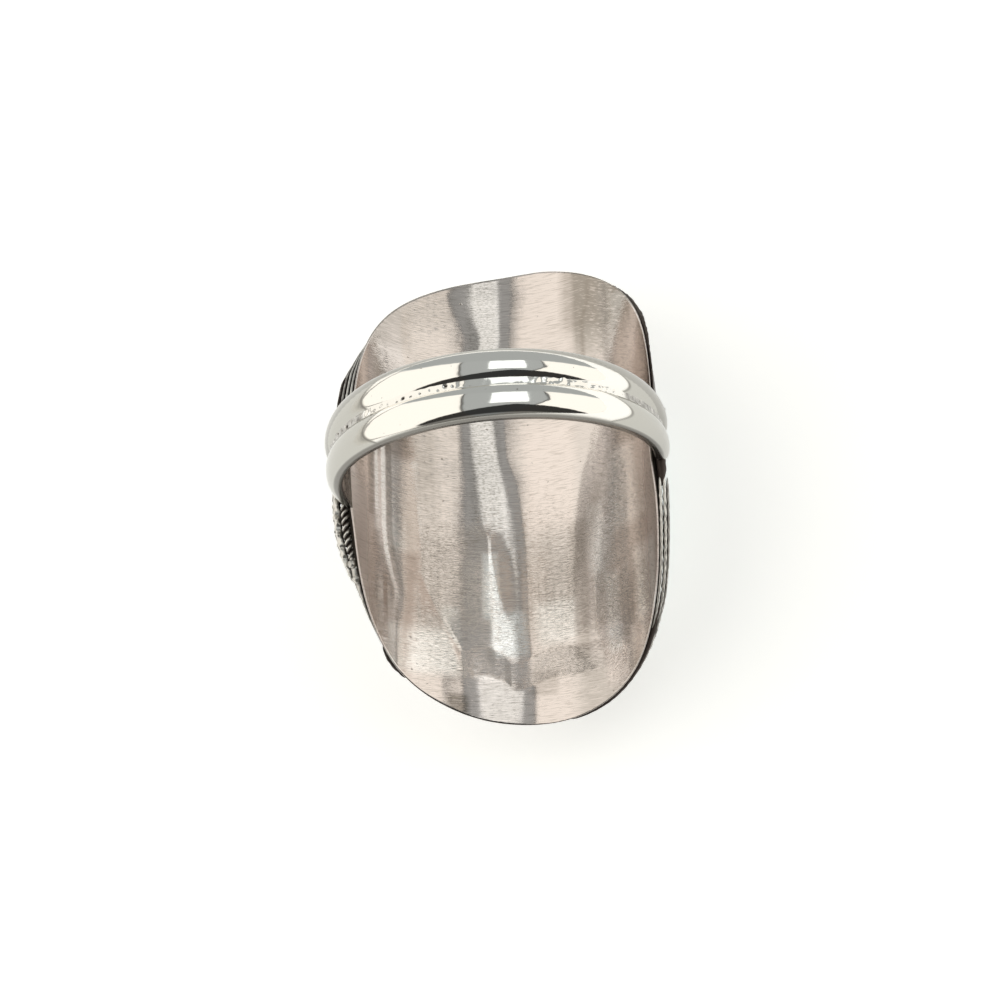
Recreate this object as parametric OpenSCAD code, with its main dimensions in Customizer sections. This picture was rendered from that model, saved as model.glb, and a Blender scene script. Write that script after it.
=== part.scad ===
// Large silver ring with an oval turquoise, lying on the stone.
// The origin is the middle of the finger hole. +Y runs along the finger, +Z points away from the stone.

/* [Finger hole] */
// Radius of the finger hole
finger_r = 9.5; // [8:0.25:11]

/* [Back plate] */
// Thickness of the sheet
plate_t = 0.45; // [0.4:0.05:0.8]
// Length of the plate behind its widest line
plate_far = 15.5; // [13:0.1:18]
// Length of the plate in front of its widest line
plate_near = 15.4; // [13:0.1:18]
// Where the widest line lies along the finger
plate_shift = 0.5; // [-1:0.1:1]
// Reach round the finger on the left, in degrees from the bottom
plate_left = 86; // [78:1:88]
// Reach round the finger on the right, in degrees from the bottom
plate_right = 79; // [70:1:88]
// Where the plate is longest, in degrees from the bottom
plate_mid = 3; // [-5:1:5]
// How far the filed edge leans in, for each millimetre of thickness
plate_bevel = 0.9; // [0:0.1:1.2]
// Fullness of the far left corner
corner_far_left = 2.2; // [1.7:0.05:3]
// Fullness of the far right corner
corner_far_right = 1.75; // [1.7:0.05:3]
// Fullness of the near left corner
corner_near_left = 2.3; // [1.7:0.05:3]
// Fullness of the near right corner
corner_near_right = 2; // [1.7:0.05:3]

/* [Band] */
// Width of each half-round wire
wire_w = 2.15; // [1.8:0.05:2.6]
// Height of each half-round wire
wire_h = 0.95; // [0.8:0.05:1.3]
// Height of the solder between the two wires
seam_h = 0.5; // [0.3:0.05:0.7]
// How far the band sits askew, in degrees
band_skew = 2.4; // [0:0.2:4]

/* [Border] */
// Height of the border wire on the front of the plate
rim_h = 0.4; // [0.3:0.05:0.6]
// Width of the border wire
rim_w = 0.5; // [0.4:0.05:0.7]
// How far the border lies in from the edge at the near right
rim_in_right = 0.35; // [0.3:0.05:1]
// How far the border lies in from the edge at the far left
rim_in_left = 1.3; // [0.9:0.1:1.6]
// Height of the short strap over the left end
strap_h = 0.5; // [0.3:0.05:0.6]
// Width of the short strap
strap_w = 1.5; // [1:0.1:2]
// Height of the second wire over the right side
second_h = 0.15; // [0.1:0.05:0.4]
// Radius of the small drops
drop_r = 0.32; // [0.28:0.02:0.36]

/* [Stone and bezel] */
// Width of the stone
stone_w = 13.5; // [11:0.5:14]
// Length of the stone
stone_l = 19.5; // [16:0.5:21]
// Straight height of the stone's side
girdle_h = 1.2; // [1:0.1:1.6]
// Height of the stone's dome
dome_h = 2.1; // [1.6:0.1:3]
// Thickness of the bezel's wall
bezel_t = 0.4; // [0.3:0.05:0.6]
// Gap between the stone and the silver
stone_gap = 0.08; // [0.05:0.01:0.15]

/* [Hidden] */
$fn = 96;
plate_r = finger_r + plate_t;
rim_r = plate_r + rim_h;
outline_n = 64;
oval_n = 72;
// The seat of the stone, its lip and its table, as depths below the finger's axis
seat_z = plate_r + 0.4;
base_z = seat_z + stone_gap;
lip_z = base_z + girdle_h + 0.35;

// A sine or cosine made fuller or leaner
function fuller(v, e) = sign(v) * pow(abs(v), 2 / e);

// The corner that a direction t points to
function corner(t) = sin(t) >= 0
    ? (cos(t) >= 0 ? corner_far_right : corner_far_left)
    : (cos(t) >= 0 ? corner_near_right : corner_near_left);

// The plate's outline laid flat: arc length round the finger, and place along it
function flat_edge(t) = [
    finger_r * PI / 180 * (plate_mid + fuller(cos(t), corner(t))
        * (cos(t) >= 0 ? plate_right - plate_mid : plate_left + plate_mid)),
    plate_shift + fuller(sin(t), corner(t)) * (sin(t) >= 0 ? plate_far : plate_near)];

// The same outline moved inward by d
function flat_inset(t, d) = let (q = flat_edge(t + 3) - flat_edge(t - 3))
    flat_edge(t) + d * [-q[1], q[0]] / norm(q);

// A flat place bent round the finger at radius r
function bent(q, r) = let (a = q[0] / finger_r * 180 / PI) [r * sin(a), q[1], -r * cos(a)];

// A smooth oval with semi-axes a and b
function oval(a, b) = [for (i = [0:oval_n - 1]) let (t = 360 * i / oval_n)
    [a * fuller(cos(t), 2.1), b * fuller(sin(t), 2.1)]];

// A tube round the finger's axis
module tube(r1, r2, l = 60) {
    rotate([-90, 0, 0]) difference() {
        cylinder(r = r2, h = l, center = true);
        cylinder(r = r1, h = l + 2, center = true);
    }
}

// All that lies under the outline moved inward by d(t), with edges that point to the finger's axis
// or lean in by lean for each millimetre outward
module under_outline(d, lean = 0) {
    n = outline_n;
    ts = [for (i = [0:n - 1]) 360 * (i + 0.5) / n];
    points = concat(
        [for (t = ts) bent(flat_inset(t, d(t) - 0.25 * lean), finger_r - 0.25)],
        [for (t = ts) bent(flat_inset(t, d(t) + 2 * lean), finger_r + 2)],
        [[0, plate_shift, 0], [0, plate_shift, -40 * finger_r]]);
    faces = [for (i = [0:n - 1]) let (j = (i + 1) % n)
        each [[i, j, n + j], [i, n + j, n + i], [2 * n, j, i], [2 * n + 1, n + i, n + j]]];
    polyhedron(points, faces, convexity = 6);
}

// A raised line on the plate's front, from(t) in from its edge
module edge_line(from, width, r1, r2) {
    intersection() {
        tube(r1, r2);
        difference() {
            under_outline(from);
            under_outline(function (t) from(t) + width);
        }
    }
}

// One half-round wire bent round the finger, y its place along the finger
module half_round(y) {
    arc = (pow(wire_w / 2, 2) + pow(0.8 * wire_h, 2)) / (1.6 * wire_h);
    intersection() {
        translate([finger_r + wire_h - arc, y]) circle(r = arc);
        translate([finger_r - 0.3, y - wire_w / 2]) square([wire_h + 0.5, wire_w]);
    }
}

// Two half-round wires side by side with solder in their seam
module band() {
    color("silver") rotate([0, 0, band_skew]) rotate([-90, 0, 0])
        rotate([0, 0, 90 + plate_left - 3])
            rotate_extrude(angle = 366 - plate_left - plate_right) {
                for (side = [-1, 1]) half_round(side * (wire_w / 2 - 0.01));
                translate([finger_r - 0.3, -0.55]) square([seam_h + 0.3, 1.1]);
            }
}

// The oval sheet bent round the finger
module back_plate() {
    color("silver") intersection() {
        tube(finger_r - 0.2, plate_r);
        under_outline(function (t) 0, plate_bevel);
    }
}

// How far the border lies in from the edge in the direction t
border_in = function (t) (rim_in_right + rim_in_left + cos(t + 30) * (rim_in_right - rim_in_left)) / 2;

// The same for the strap, which draws in towards its two ends
strap_in = function (t) 0.3 + 1.5 * (1 - cos(1.5 * (t - 182)));

// The border wire, the strap on its foot over the left end and the second wire over the right side
module border() {
    color("gray") {
        edge_line(border_in, rim_w, plate_r - 0.08, rim_r);
        intersection() {
            union() {
                edge_line(function (t) strap_in(t) + 0.12, strap_w - 0.24, plate_r - 0.08, rim_r + 0.1);
                edge_line(strap_in, strap_w, rim_r, rim_r + strap_h);
            }
            translate([-20, -5.4, -20]) cube([18, 11.8, 40]);
        }
        intersection() {
            edge_line(function (t) border_in(t) + 0.1, rim_w - 0.2, rim_r - 0.05, rim_r + second_h);
            translate([3, -11, -20]) cube([20, 19, 40]);
        }
    }
}

// Small drops in a row below the left strap
module drops() {
    color("silver") for (t = [200.5, 203.5, 206.5])
        translate(bent(flat_inset(t, 0.7), plate_r + 0.2)) sphere(r = drop_r);
}

// The wall round the stone and the seat under it
module bezel() {
    wide = stone_w / 2 + stone_gap;
    long = stone_l / 2 + stone_gap;
    color("silver") difference() {
        translate([0, plate_shift, -lip_z]) linear_extrude(lip_z - 3)
            polygon(oval(wide + bezel_t, long + bezel_t));
        translate([0, plate_shift, -lip_z - 1]) linear_extrude(lip_z + 1 - seat_z)
            polygon(oval(wide, long));
        rotate([-90, 0, 0]) cylinder(r = finger_r + 0.15, h = 60, center = true);
    }
}

// All the soldered silver, opened along the finger
module silver_setting() {
    color("silver") difference() {
        union() {
            band();
            back_plate();
            border();
            drops();
            bezel();
        }
        rotate([-90, 0, 0]) cylinder(r = finger_r, h = 60, center = true);
    }
}

// The oval stone: a straight side and a low dome with a small flat top
module turquoise_stone() {
    n = oval_n;
    tops = [for (k = [0:7]) 10 * k];
    rings = concat([[1, 0]], [for (k = tops) [cos(k), girdle_h + dome_h * sin(k) / sin(70)]]);
    m = len(rings);
    points = [for (q = rings) each [for (p = oval(stone_w / 2 * q[0], stone_l / 2 * q[0]))
        [p[0], p[1] + plate_shift, -base_z - q[1]]]];
    sides = [for (j = [0:m - 2]) each [for (i = [0:n - 1]) let (k = (i + 1) % n)
        [j * n + i, j * n + k, (j + 1) * n + k, (j + 1) * n + i]]];
    color("turquoise") polyhedron(points, concat(
        [[for (i = [n - 1:-1:0]) i]], sides, [[for (i = [0:n - 1]) (m - 1) * n + i]]), convexity = 2);
}

silver_setting();
turquoise_stone();
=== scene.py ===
"""Looks of the turquoise ring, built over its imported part.

The ring lies on its stone. The origin is the middle of the finger hole, +Y runs along the finger and +Z points away
from the stone. Sizes in the classes are millimetres and angles are degrees; meshes are made in metres. Places on the
back plate are given flat, as (arc, along): millimetres round the finger from the bottom, and millimetres along it.
"""
import logging
import math
from dataclasses import dataclass
from enum import Enum
from functools import reduce
from typing import Callable, Sequence

import bpy
import numpy as np
from mathutils import Matrix, Vector


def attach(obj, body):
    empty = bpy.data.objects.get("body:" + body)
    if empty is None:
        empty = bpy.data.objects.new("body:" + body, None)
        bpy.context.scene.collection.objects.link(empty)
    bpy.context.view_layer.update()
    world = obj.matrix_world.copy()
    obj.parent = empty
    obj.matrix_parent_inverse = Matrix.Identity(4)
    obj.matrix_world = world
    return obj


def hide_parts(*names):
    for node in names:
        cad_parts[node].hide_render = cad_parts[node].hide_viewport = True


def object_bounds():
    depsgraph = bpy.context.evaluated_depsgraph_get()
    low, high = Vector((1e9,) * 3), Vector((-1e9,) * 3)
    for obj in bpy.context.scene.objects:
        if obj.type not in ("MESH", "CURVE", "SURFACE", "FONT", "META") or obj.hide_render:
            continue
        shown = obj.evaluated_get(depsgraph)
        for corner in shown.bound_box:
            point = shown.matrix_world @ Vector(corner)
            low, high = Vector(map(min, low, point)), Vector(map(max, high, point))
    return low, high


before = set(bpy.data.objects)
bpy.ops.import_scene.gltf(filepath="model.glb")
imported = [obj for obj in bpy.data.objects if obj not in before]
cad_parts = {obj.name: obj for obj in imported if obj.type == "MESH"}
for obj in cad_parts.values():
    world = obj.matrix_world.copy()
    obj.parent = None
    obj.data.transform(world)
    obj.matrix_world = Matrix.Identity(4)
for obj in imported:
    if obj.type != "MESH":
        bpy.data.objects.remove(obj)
CAD_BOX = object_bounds()
LOG = logging.getLogger("ring")
MM = 0.001
Array = np.ndarray
Colour = tuple[float, float, float]
Rows = tuple[tuple[float, ...], ...]
Line = tuple[Array, Array, Array]
Lines = tuple[tuple[tuple[float, ...], tuple[float, ...]], ...]


class Slot(Enum):
    """The record's material slots."""

    SILVER = "silver"
    TURQUOISE = "turquoise"


# Shader building


class Term:
    """A number inside a material. Python's arithmetic signs on it add Math nodes."""

    def __init__(self, graph: "Graph", socket: bpy.types.NodeSocket) -> None:
        """Wraps one output socket of a graph."""
        self.graph, self.socket = graph, socket

    def __add__(self, other: "Term | float") -> "Term":
        """self + other."""
        return self.graph.math("ADD", self, other)

    __radd__ = __add__

    def __sub__(self, other: "Term | float") -> "Term":
        """self - other."""
        return self.graph.math("SUBTRACT", self, other)

    def __rsub__(self, other: float) -> "Term":
        """other - self."""
        return self.graph.math("SUBTRACT", other, self)

    def __mul__(self, other: "Term | float") -> "Term":
        """self * other."""
        return self.graph.math("MULTIPLY", self, other)

    __rmul__ = __mul__

    def __truediv__(self, other: "Term | float") -> "Term":
        """self / other."""
        return self.graph.math("DIVIDE", self, other)

    def __pow__(self, other: float) -> "Term":
        """self ** other."""
        return self.graph.math("POWER", self, other)

    def __abs__(self) -> "Term":
        """self without its sign."""
        return self.graph.math("ABSOLUTE", self)

    def max(self, other: "Term | float") -> "Term":
        """The larger of self and other."""
        return self.graph.math("MAXIMUM", self, other)

    def step(self, low: float, high: float) -> "Term":
        """Rises from 0 at low to 1 at high, and falls where low is the larger."""
        return self.graph.math("DIVIDE", self - low, high - low, clamp=True)

    def within(self, low: float, high: float, soft: float) -> "Term":
        """1 between low and high, falling to 0 over soft outside them."""
        return self.step(low - soft, low) * self.step(high + soft, high)


class Graph:
    """Adds nodes to one node tree."""

    def __init__(self, tree: bpy.types.NodeTree) -> None:
        """Empties the tree and keeps it."""
        self.tree = tree
        tree.nodes.clear()

    def node(self, kind: str, settings: dict | None = None, sockets: dict | None = None) -> bpy.types.Node:
        """Adds one node of any type.

        Args:
            kind: the node's type name.
            settings: the node's properties, set first.
            sockets: values or links of its inputs, by name or number.

        Returns:
            The node.
        """
        node = self.tree.nodes.new(kind)
        for name, value in (settings or {}).items():
            setattr(node, name, value)
        for name, value in (sockets or {}).items():
            socket = node.inputs[name]
            if isinstance(value, Term):
                self.tree.links.new(value.socket, socket)
            else:
                socket.default_value = value
        return node

    def add(self, kind: str, settings: dict | None = None, sockets: dict | None = None, out: int | str = 0) -> Term:
        """Adds a node as node() does and returns one of its outputs."""
        return Term(self, self.node(kind, settings, sockets).outputs[out])

    def math(self, operation: str, *values: Term | float, clamp: bool = False) -> Term:
        """Applies a Math node to values, and keeps the result between 0 and 1 if clamp is set."""
        return self.add("ShaderNodeMath", {"operation": operation, "use_clamp": clamp}, dict(enumerate(values)))

    def vector(self, operation: str, *values: Term | tuple[float, ...]) -> Term:
        """Applies a Vector Math node to values."""
        return self.add("ShaderNodeVectorMath", {"operation": operation}, dict(enumerate(values)))

    def place(self) -> Term:
        """The Object coordinates, in metres."""
        return self.add("ShaderNodeTexCoord", out="Object")

    def patina_and_shade(self) -> Term:
        """The piece's own attribute: patina on trims, painted shade on the plate, a painted reflection on the wires."""
        return self.add("ShaderNodeAttribute", {"attribute_name": "patina_and_shade"}, out="Fac")

    def axes(self, vector: Term) -> tuple[Term, Term, Term]:
        """Splits a vector into its three numbers."""
        node = self.node("ShaderNodeSeparateXYZ", None, {0: vector})
        return Term(self, node.outputs[0]), Term(self, node.outputs[1]), Term(self, node.outputs[2])

    def noise(self, vector: Term, scale: Colour | float, detail: float = 2.0, distortion: float = 0.0) -> Term:
        """Noise between about 0 and 1.

        Args:
            vector: the coordinates.
            scale: how often it repeats per unit, along each axis or along all.
            detail: its octaves.
            distortion: how much it is warped.

        Returns:
            The noise.
        """
        scaled = self.vector("MULTIPLY", vector, scale if isinstance(scale, tuple) else (scale,) * 3)
        sockets = {"Vector": scaled, "Scale": 1.0, "Detail": detail, "Distortion": distortion}
        return self.add("ShaderNodeTexNoise", None, sockets)

    def colours(self, factor: Term, low: Term | Colour, high: Colour) -> Term:
        """A colour between two, low where factor is 0."""
        sockets = {"Factor": factor, 6: low if isinstance(low, Term) else (*low, 1.0), 7: (*high, 1.0)}
        return self.add("ShaderNodeMix", {"data_type": "RGBA"}, sockets, out=2)

    def layered(self, base: Term, *layers: tuple[Term, Colour]) -> Term:
        """A colour with others laid over it in turn, each as strong as its factor."""
        return reduce(lambda under, layer: self.colours(layer[0], under, layer[1]), layers, base)

    def patches(self, x: Term, y: Term, rows: Rows) -> Term:
        """The strongest of soft rectangles, each row its limits along x and y, its edge's softness and its strength."""
        spots = [x.within(*row[:2], row[4]) * y.within(*row[2:4], row[4]) * row[5] for row in rows]
        return reduce(Term.max, spots)

    def bump(self, height: Term, distance: float, normal: Term | None = None) -> Term:
        """A normal from a height between 0 and 1 that stands for distance metres, over another normal if given."""
        sockets = {"Distance": distance, "Height": height, **({"Normal": normal} if normal else {})}
        return self.add("ShaderNodeBump", None, sockets)

    def leaned(self, amount: Term) -> Term:
        """The surface's normal, leaned along the finger: the unit vector of the normal plus amount along Y.

        Args:
            amount: how far it leans, 1 for 45 degrees.

        Returns:
            The leaned normal.
        """
        normal = self.add("ShaderNodeNewGeometry", out="Normal")
        lean = self.add("ShaderNodeCombineXYZ", None, {"Y": amount})
        return self.vector("NORMALIZE", self.vector("ADD", normal, lean))


@dataclass(frozen=True)
class Finish:
    """A material of one Principled shader."""

    name: str

    def sockets(self, graph: Graph) -> dict:
        """The shader's inputs."""
        raise NotImplementedError

    def material(self) -> bpy.types.Material:
        """Builds the material.

        Returns:
            The material.
        """
        material = bpy.data.materials.new(self.name)
        material.use_nodes = True
        graph = Graph(material.node_tree)
        shader = graph.add("ShaderNodeBsdfPrincipled", None, self.sockets(graph))
        graph.node("ShaderNodeOutputMaterial", None, {"Surface": shader})
        return material


@dataclass(frozen=True)
class BrushedSilver(Finish):
    """Sheet silver sanded round the finger, with a warm film on it.

    Each row of its tables is a patch: limits round and along the finger, softness of the edge, and strength.
    """

    name: str = "brushed silver"
    painted_highlight: Colour = (0.98, 0.96, 0.94)
    bright: Colour = (0.80, 0.72, 0.68)
    pale: Colour = (0.71, 0.65, 0.615)
    warm: Colour = (0.40, 0.365, 0.33)
    scratches_and_shade: Colour = (0.27, 0.235, 0.20)
    shaded: Colour = (0.07, 0.06, 0.052)
    roughness: float = 0.05
    scratch: float = 0.000009
    brush: float = 0.8
    # How far the patches wander round the finger, and the turn in radians of the scratches at the low right
    wander: float = 1.2
    slant: float = 0.45
    # Painted highlights: patches where the sheet is painted brighter to stand for bright reflections
    painted_highlight_patches: Rows = (
        (-3.4, -2.6, -7.8, -3.6, 0.3, 0.85), (-2.9, -1.2, -10.2, -7.6, 0.4, 0.85), (6.2, 9.5, -3.0, 1.6, 0.8, 0.65),
        (8.4, 10.4, -9.4, -5.6, 0.8, 0.85), (-10.2, -8.2, -3.6, 2.0, 0.6, 0.75), (4.0, 4.6, -5.6, -1.4, 0.5, 0.35),
        (-10.2, -5.6, -11.4, -9.2, 0.7, 0.8), (-6.1, -5.3, -9.6, -7.4, 0.4, 0.5), (0.2, 2.2, -9.4, -7.4, 0.7, 0.6),
        (5.2, 6.0, -11.0, -6.4, 0.5, 0.6),
    )
    # Painted shade: patches where the sheet is painted darker to stand for shade and dark reflections
    painted_shade_patches: Rows = (
        (-3.8, -1.6, -16.0, -12.3, 0.3, 0.3), (-0.4, 0.9, -13.0, -11.8, 0.4, 0.35), (2.6, 3.3, -11.0, -2.2, 0.4, 0.4),
        (2.6, 4.8, 11.5, 17.0, 0.6, 0.45), (6.6, 7.6, 12.8, 17.0, 0.5, 0.9), (-12.0, -8.8, 10.4, 12.4, 0.8, 0.4),
        (-12.4, -11.2, 2.2, 5.0, 0.4, 1.0), (-11.2, -10.4, 2.4, 5.0, 0.3, 0.6), (6.4, 12.0, 2.4, 5.0, 0.6, 0.3),
        (-6.0, -5.1, -16.0, -13.2, 0.4, 0.8),
    )
    # The painted highlight and painted shade lines of a crescent at the left
    crescent_painted_highlight: Rows = (
        (-10.78, -10.5, -9.0, 3.0, 0.1, 0.95), (-11.4, -11.2, -1.6, 3.0, 0.12, 0.75),
        (-11.36, -11.16, -2.8, -1.2, 0.35, 0.4),
    )
    crescent_painted_shade: Rows = ((-10.32, -9.98, -9.0, 3.0, 0.16, 0.58), (-12.0, -11.62, -2.0, 2.8, 0.2, 0.5))

    def film_and_shade(self, arc: Term, along: Term, wavy: Term, flakes: Term) -> Term:
        """How thick the warm film and painted shade lie at the far end, the left, the low right and left of the middle.

        Args:
            arc: millimetres round the finger.
            along: millimetres along it.
            wavy: arc with a slow wander.
            flakes: fine noise.

        Returns:
            The film and painted shade, 0 where there is none.
        """
        film_and_shade = arc.within(3.4, 8.5, 0.9) * along.step(8.5, 11.0) + arc.step(-4.0, -5.6) * along.step(11.4, 13.0) * 0.35
        film_and_shade = film_and_shade + wavy.within(-8.8, -6.7, 0.7) * along.step(-2.5, 1.0) * along.step(8.5, 4.0) * 0.5
        film_and_shade = film_and_shade + arc.step(2.0, 3.4) * along.step(-11.0, -12.2) * 0.5
        return film_and_shade + arc.within(-3.9, -2.4, 0.4) * along.step(-2.6, -1.2) * (0.2 + flakes.step(0.47, 0.6) * 0.6)

    def sockets(self, graph: Graph) -> dict:
        """Scratches run along the flat map's first axis, under patches of film, painted highlight and painted shade.

        Args:
            graph: the material's graph.

        Returns:
            The shader's inputs.
        """
        flat = graph.add("ShaderNodeUVMap", {"uv_map": "flat"}, out="UV")
        arc, along, _ = graph.axes(flat)
        patina_and_shade = graph.patina_and_shade()
        fine = graph.noise(flat, (1.6, 21.0, 1.0), 3.0, 0.4)
        lines = graph.noise(flat, (0.9, 15.0, 1.0), 2.0, 0.5)
        cloud = graph.noise(flat, (0.16, 0.12, 1.0))
        brushed = graph.noise(flat, (2.0, 60.0, 1.0), 1.0)
        grain = graph.noise(flat, (4.0, 6.5, 1.0), 2.0, 1.0)
        ripple = graph.noise(flat, (0.5, 4.5, 1.0), 1.0)
        pits = graph.noise(flat, (2.6, 3.4, 1.0), 1.0).step(0.26, 0.2)
        flakes = graph.noise(flat, (5.0, 12.0, 1.0), 3.0)
        wavy = arc + (cloud - 0.5) * self.wander
        # Brighter over the middle and the low middle: bare of film, with painted highlight
        low = along.step(-8.0, -11.5) * arc.step(2.8, 1.8) * 0.8
        clean_and_sheen = (arc.within(-0.3, 2.4, 0.8) * along.within(-1.5, 4.5, 1.5)).max(low)
        clean_and_sheen = clean_and_sheen.max(arc.within(-0.6, 3.0, 0.4) * along.step(7.0, 11.0) * 0.6)
        matte = (arc.step(8.8, 10.2) * along.step(2.2, 0.4)).max(arc.step(-11.4, -12.8) * along.step(1.0, -1.0))
        # A darker line along a fold at the far end: painted shade
        fold = 1.0 - abs(arc - 3.85 - along.step(11.8, 13.2) * 0.6) / 0.3
        fold = fold.max(0.0) * along.step(7.0, 9.0) * along.step(15.5, 13.5)
        side = arc.step(2.6, 5.0) * along.step(-14.0, -9.0)
        pitted = arc.within(5.0, 6.4, 0.6) * along.within(-12.8, -11.2, 0.8)
        chatter = arc.within(-12.6, -10.8, 0.4) * along.within(-10.0, -6.4, 1.0)
        curl = arc - (-2.4 - along).max(0.0) ** 1.6 * 0.1 + (fine - 0.5) * 0.35
        fade = along.step(-7.4, -4.2)
        turned = graph.add("ShaderNodeVectorRotate", {"rotation_type": "Z_AXIS"}, {"Vector": flat, "Angle": self.slant})
        slanted = graph.noise(turned, (1.6, 9.0, 1.0), 3.0, 0.5)
        marks = lines + (slanted - lines) * side
        tone = graph.layered(
            graph.colours(cloud.step(0.4, 0.75) * 0.3 + self.film_and_shade(arc, along, wavy, flakes), self.pale, self.warm),
            (clean_and_sheen * 0.9 + pitted * 0.8 + matte * 0.6, self.bright),
            (graph.patches(wavy, along, self.painted_highlight_patches), self.painted_highlight),
            (graph.patches(wavy, along, self.painted_shade_patches), self.scratches_and_shade),
            (graph.patches(curl, along, self.crescent_painted_highlight) * fade, self.painted_highlight),
            (graph.patches(curl, along, self.crescent_painted_shade) * fade, self.scratches_and_shade),
            (marks.step(0.48, 0.33) * 0.32 + pits * 0.6 + fold * 0.55, self.scratches_and_shade),
            (marks.step(0.53, 0.66) * 0.45, self.bright),
            (patina_and_shade, self.shaded),
        )
        relief = fine * 0.4 + marks * 0.3 - pits + grain * (side * 0.4 + pitted * 2.5) + ripple * chatter * 4.0
        return {
            "Base Color": tone,
            "Metallic": 1.0,
            "Roughness": self.roughness + lines * 0.06 + patina_and_shade * 0.3 + matte * 0.3,
            "Normal": graph.bump(relief, self.scratch, graph.leaned((brushed - 0.5) * self.brush)),
        }


@dataclass(frozen=True)
class PolishedSilver(Finish):
    """Wire silver, polished by hand."""

    name: str = "polished silver"
    colour: Colour = (0.93, 0.91, 0.87)
    painted_reflection: Colour = (0.52, 0.51, 0.475)
    painted_shade_grey: Colour = (0.13, 0.12, 0.11)
    speck: Colour = (0.25, 0.23, 0.21)
    roughness: float = 0.045
    dent: float = 0.00001

    def sockets(self, graph: Graph) -> dict:
        """A mirror with faint specks and soft unevenness, rougher with a painted reflection where its attribute is 1,
        painted shade at 2.

        Args:
            graph: the material's graph.

        Returns:
            The shader's inputs.
        """
        place, patina_and_shade = graph.place(), graph.patina_and_shade()
        uneven = graph.noise(place, 900.0)
        specks = graph.noise(place, 4200.0, 1.0).step(0.24, 0.19)
        plain = graph.colours(patina_and_shade, self.colour, self.painted_reflection)
        return {
            "Base Color": graph.layered(plain, (patina_and_shade - 1.0, self.painted_shade_grey), (specks, self.speck)),
            "Metallic": 1.0,
            "Roughness": self.roughness + uneven * 0.05 + patina_and_shade * 0.09 + specks * 0.3,
            "Normal": graph.bump(uneven - specks * 0.15, self.dent),
        }


@dataclass(frozen=True)
class DarkenedSilver(Finish):
    """Silver black with age in its hollows, black as painted shade on some trims; its attribute says where."""

    name: str = "darkened silver"
    bright: Colour = (0.72, 0.70, 0.66)
    dark: Colour = (0.06, 0.045, 0.038)
    roughness: float = 0.28
    grain: float = 0.00002

    def sockets(self, graph: Graph) -> dict:
        """Dark and matte in the hollows, bright on the high places, where rubbing takes the black off.

        Args:
            graph: the material's graph.

        Returns:
            The shader's inputs.
        """
        patina_and_shade = graph.patina_and_shade()
        mottle = graph.noise(graph.place(), 2600.0, 3.0)
        darkness = (patina_and_shade + (mottle - 0.5) * 0.6).step(0.25, 0.75)
        return {
            "Base Color": graph.colours(darkness, self.bright, self.dark),
            "Metallic": 1.0 - darkness * 0.35,
            "Roughness": self.roughness + darkness * 0.3,
            "Normal": graph.bump(mottle, self.grain),
        }


@dataclass(frozen=True)
class TurquoiseStone(Finish):
    """Blue-green stone with brown matrix, domed and polished."""

    name: str = "turquoise with matrix"
    blue: Colour = (0.10, 0.40, 0.40)
    green: Colour = (0.16, 0.42, 0.35)
    matrix: Colour = (0.09, 0.055, 0.035)
    roughness: float = 0.16
    coat: float = 0.4
    coat_roughness: float = 0.08
    dent: float = 0.00003

    def sockets(self, graph: Graph) -> dict:
        """Clouds of two blues, with a web of thin veins where warped noise crosses its middle.

        Args:
            graph: the material's graph.

        Returns:
            The shader's inputs.
        """
        place = graph.place()
        cloud = graph.noise(place, 260.0, 4.0, 0.6)
        web = graph.noise(place, 330.0, 5.0, 1.4)
        vein = abs(web - 0.5).step(0.022, 0.004) * graph.noise(place, 190.0).step(0.42, 0.55)
        body = graph.colours(cloud.step(0.35, 0.65), self.blue, self.green)
        return {
            "Base Color": graph.colours(vein, body, self.matrix),
            "Roughness": self.roughness + vein * 0.35,
            "Coat Weight": self.coat,
            "Coat Roughness": self.coat_roughness,
            "Normal": graph.bump(1.0 - vein, self.dent),
        }


@dataclass(frozen=True)
class WhiteCard(Finish):
    """The table: white card, lit from below."""

    name: str = "lit white table"
    white: Colour = (0.88, 0.88, 0.88)
    roughness: float = 0.9
    glow: Colour = (1.0, 1.0, 0.97)
    strength: float = 0.52

    def sockets(self, graph: Graph) -> dict:
        """The same all over."""
        return {
            "Base Color": (*self.white, 1.0),
            "Roughness": self.roughness,
            "Emission Color": (*self.glow, 1.0),
            "Emission Strength": self.strength,
        }


# Mesh building


def quads(rows: int, columns: int, closed_rows: bool = False, closed_columns: bool = False) -> Array:
    """Faces of a grid of points, numbered row by row.

    Args:
        rows: number of rows of points.
        columns: number of points in a row.
        closed_rows: joins the last row to the first.
        closed_columns: joins the last point of a row to its first.

    Returns:
        An array of four point numbers a face.
    """
    i = np.arange(rows if closed_rows else rows - 1)[:, None]
    j = np.arange(columns if closed_columns else columns - 1)[None, :]
    i2, j2 = (i + 1) % rows, (j + 1) % columns
    corners = [i * columns + j, i * columns + j2, i2 * columns + j2, i2 * columns + j]
    return np.stack(np.broadcast_arrays(*corners), -1).reshape(-1, 4)


def fan(ring: Array, centre: int) -> Array:
    """Triangles from a closed ring of point numbers to one point."""
    return np.stack([ring, np.roll(ring, -1), np.full(len(ring), centre)], -1)


def capped(rows: int, around: int) -> list[Array]:
    """Faces of closed rings of points, with a fan from the first and the last ring to the two points after them all.

    Args:
        rows: number of rings.
        around: points in a ring.

    Returns:
        The sides and the two ends.
    """
    ring, count = np.arange(around), rows * around
    ends = [fan(ring[::-1], count), fan(ring + count - around, count + 1)]
    return [quads(rows, around, closed_columns=True), np.concatenate(ends)]


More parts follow.
